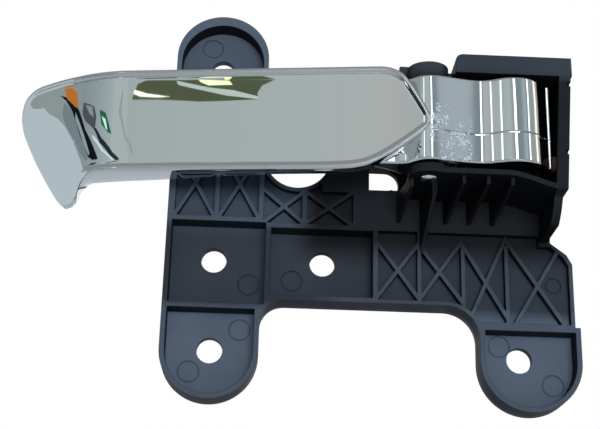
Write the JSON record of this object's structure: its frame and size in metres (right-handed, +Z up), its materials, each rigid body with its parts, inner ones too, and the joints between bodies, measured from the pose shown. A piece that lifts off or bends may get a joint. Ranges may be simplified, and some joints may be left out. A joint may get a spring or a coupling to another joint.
{
  "type": "car interior door handle",
  "caption": "Interior door handle: a chrome pull lever that turns on a vertical pin in the housing of a black ribbed mounting bracket.",
  "frame": {"origin": "centre of the middle left bolt hole, on the bracket's flat back", "axes": "+X along the lever towards the housing, +Z up, +Y into the door, away from the viewer"},
  "size_m": [0.1572, 0.032, 0.1138],
  "materials": {
    "moulded_black": "black glass-filled nylon, satin as moulded",
    "chrome_plate": "bright chrome plate, lightly pitted on the hub",
    "bright_steel": "bright zinc-plated steel",
    "spring_steel": "drawn spring wire",
    "brown_rubber": "dark red-brown rubber"
  },
  "bodies": {
    "bracket": {"mounting_bracket": "moulded_black", "pivot_pin": "bright_steel", "return_spring": "spring_steel", "tail_buffer": "brown_rubber"},
    "lever": {"pull_lever": "chrome_plate"}
  },
  "joints": [
    {"name": "lever_pivot", "type": "hinge", "parent": "bracket", "child": "lever", "pos_m": [0.057, -0.024, 0.0333], "axis": [0, 0, 1], "range_deg": [0, 30], "stiffness_Nm_per_rad": 0.25, "springref_deg": -28.65, "deforming": ["return_spring"]}
  ]
}
